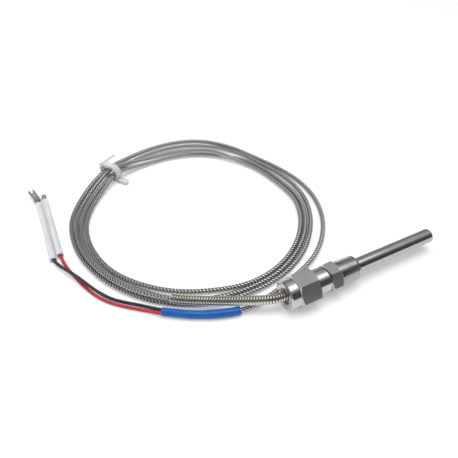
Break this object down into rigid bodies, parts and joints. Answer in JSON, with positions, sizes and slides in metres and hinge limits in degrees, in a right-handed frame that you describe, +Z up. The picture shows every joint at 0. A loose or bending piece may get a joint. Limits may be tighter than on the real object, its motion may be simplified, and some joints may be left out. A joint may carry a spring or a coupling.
{
  "type": "exhaust gas temperature sensor",
  "caption": "Closed metal probe in a sliding compression fitting with tapered pipe thread, with a spring strain relief and a tied coil of braided cable ending in two terminals.",
  "frame": {"origin": "on the surface it lies on, under the middle of the length from the nut's back to the probe's tip", "axes": "+X along the probe towards its tip, +Z up from the surface it lies on, +Y towards the coil of cable"},
  "size_m": [0.1523, 0.1394, 0.013],
  "materials": {
    "sheath_steel": "drawn stainless tube, satin",
    "fitting_steel": "turned stainless, bright",
    "spring_steel": "bright spring wire",
    "braid": "woven stainless wire over glass fibre",
    "positive_alloy": "bare drawn wire",
    "negative_alloy": "bare drawn wire",
    "ceramic": "unglazed",
    "cement": "set cement",
    "blue_sleeve": "shrunk sleeve, slight sheen",
    "black_fibre": "varnished woven fibre",
    "red_fibre": "varnished woven fibre",
    "clear_sleeve": "milky, lets light through",
    "terminal_metal": "plated sheet",
    "nylon": "natural nylon"
  },
  "bodies": {
    "probe": {"probe_sheath": "sheath_steel", "ceramic_insulator": "ceramic", "positive_thermoelement": "positive_alloy", "negative_thermoelement": "negative_alloy", "measuring_junction": "negative_alloy", "end_seal": "cement", "strain_relief_spring": "spring_steel", "cable_lead_in": "braid", "cable_coil": "braid", "cable_tail": "braid", "cable_tie": "nylon", "heat_shrink_sleeve": "blue_sleeve", "black_lead": "black_fibre", "red_lead": "red_fibre", "black_terminal_sleeve": "clear_sleeve", "red_terminal_sleeve": "clear_sleeve", "black_terminal": "terminal_metal", "red_terminal": "terminal_metal"},
    "fitting": {"fitting_body": "fitting_steel"},
    "ferrules": {"front_ferrule": "fitting_steel", "back_ferrule": "fitting_steel"},
    "nut": {"compression_nut": "fitting_steel"}
  },
  "joints": [
    {"name": "insertion_slide", "type": "slide", "parent": "probe", "child": "fitting", "axis": [1, 0, 0], "range_m": [0, 0.03]},
    {"name": "nut_advance", "type": "slide", "parent": "fitting", "child": "ferrules", "axis": [1, 0, 0], "range_m": [-0.00382, 0]},
    {"name": "nut_turn", "type": "hinge", "parent": "ferrules", "child": "nut", "pos_m": [-0.031, 0, 0.0065], "axis": [1, 0, 0], "range_deg": [-1080, 0]}
  ],
  "couplings": [
    {"joint": "nut_advance", "follows": "nut_turn", "m_per_rad": 0.00020213}
  ]
}
